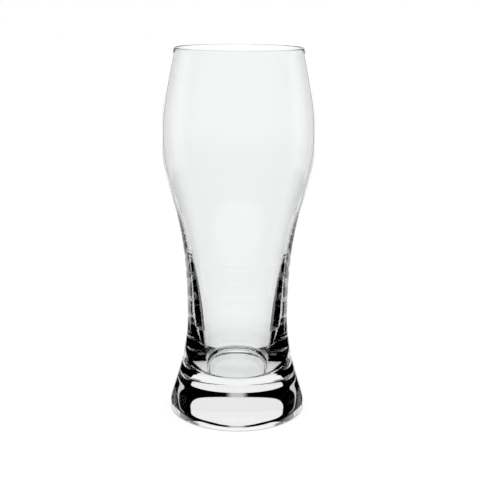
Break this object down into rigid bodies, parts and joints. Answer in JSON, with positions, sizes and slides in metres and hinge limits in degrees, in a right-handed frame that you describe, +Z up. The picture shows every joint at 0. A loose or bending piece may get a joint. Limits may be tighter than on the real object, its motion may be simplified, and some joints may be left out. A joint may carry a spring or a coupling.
{
  "type": "beer glass",
  "caption": "Tall clear beer glass with a rounded shoulder that tapers to a slim waist and flares out again into a thick solid foot.",
  "frame": {"origin": "centre of the standing ring under the foot, on the table", "axes": "+Z up the axis of the glass, out of its mouth; X and Y across it, alike all the way round"},
  "size_m": [0.0844, 0.0844, 0.205],
  "materials": {
    "bowl_glass": "fire-polished clear crystal with faint turning rings where the wall thickens",
    "foot_glass": "clear solid crystal, polished, with a smooth rounded heel"
  },
  "bodies": {
    "root": {"bowl": "bowl_glass", "foot": "foot_glass"}
  },
  "joints": []
}
